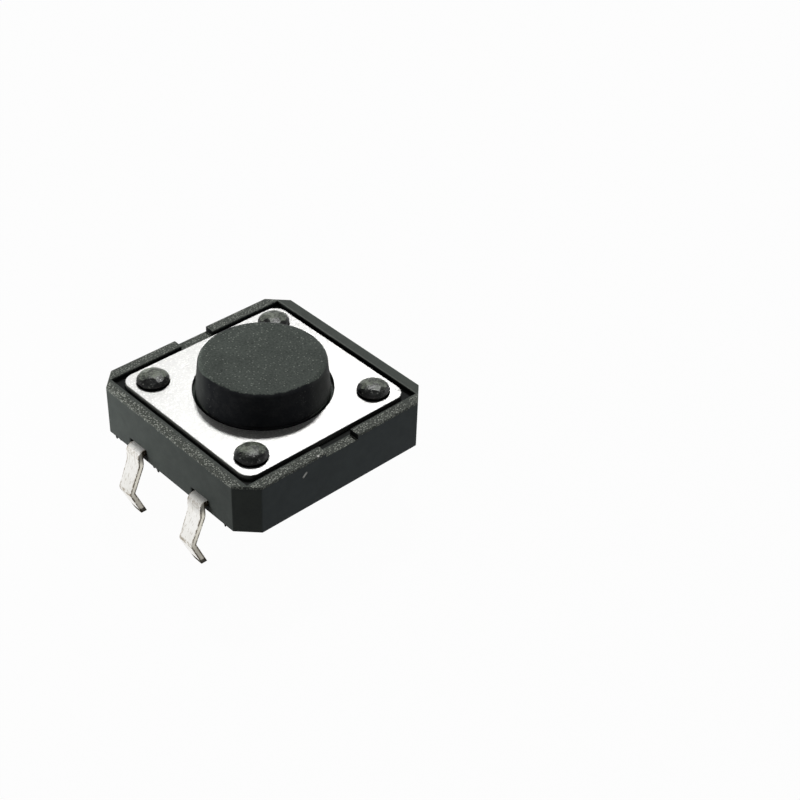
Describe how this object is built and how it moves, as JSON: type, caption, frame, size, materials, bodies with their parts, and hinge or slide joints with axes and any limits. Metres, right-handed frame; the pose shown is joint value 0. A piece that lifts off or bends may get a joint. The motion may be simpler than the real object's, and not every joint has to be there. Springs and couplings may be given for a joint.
{
  "type": "tactile push button switch",
  "caption": "Square board-mounted push button switch with a flat round button, a steel cover plate and snap-in terminals.",
  "frame": {"origin": "middle of the board face that the feet stand on", "axes": "+Z from the board to the button; the terminals leave the housing along +X and -X, the breaks in the rim face +Y and -Y"},
  "size_m": [0.014, 0.012, 0.0081],
  "materials": {
    "black_housing": "finely grained black moulding",
    "black_button": "black moulding with a fine sparkle on the top face",
    "steel_plate": "satin, stamped",
    "spring_steel": "bright rolled",
    "tinned_strip": "bright tin on brass"
  },
  "bodies": {
    "base": {"housing": "black_housing", "cover_plate": "steel_plate", "snap_dome": "spring_steel", "centre_contact": "tinned_strip", "outer_contact": "tinned_strip"},
    "plunger": {"button": "black_button"}
  },
  "joints": [
    {"name": "button_press", "type": "slide", "parent": "base", "child": "plunger", "axis": [0, 0, -1], "range_m": [0, 0.0003], "stiffness_N_per_m": 4500, "springref_m": -0.00005, "deforming": ["snap_dome"]}
  ]
}
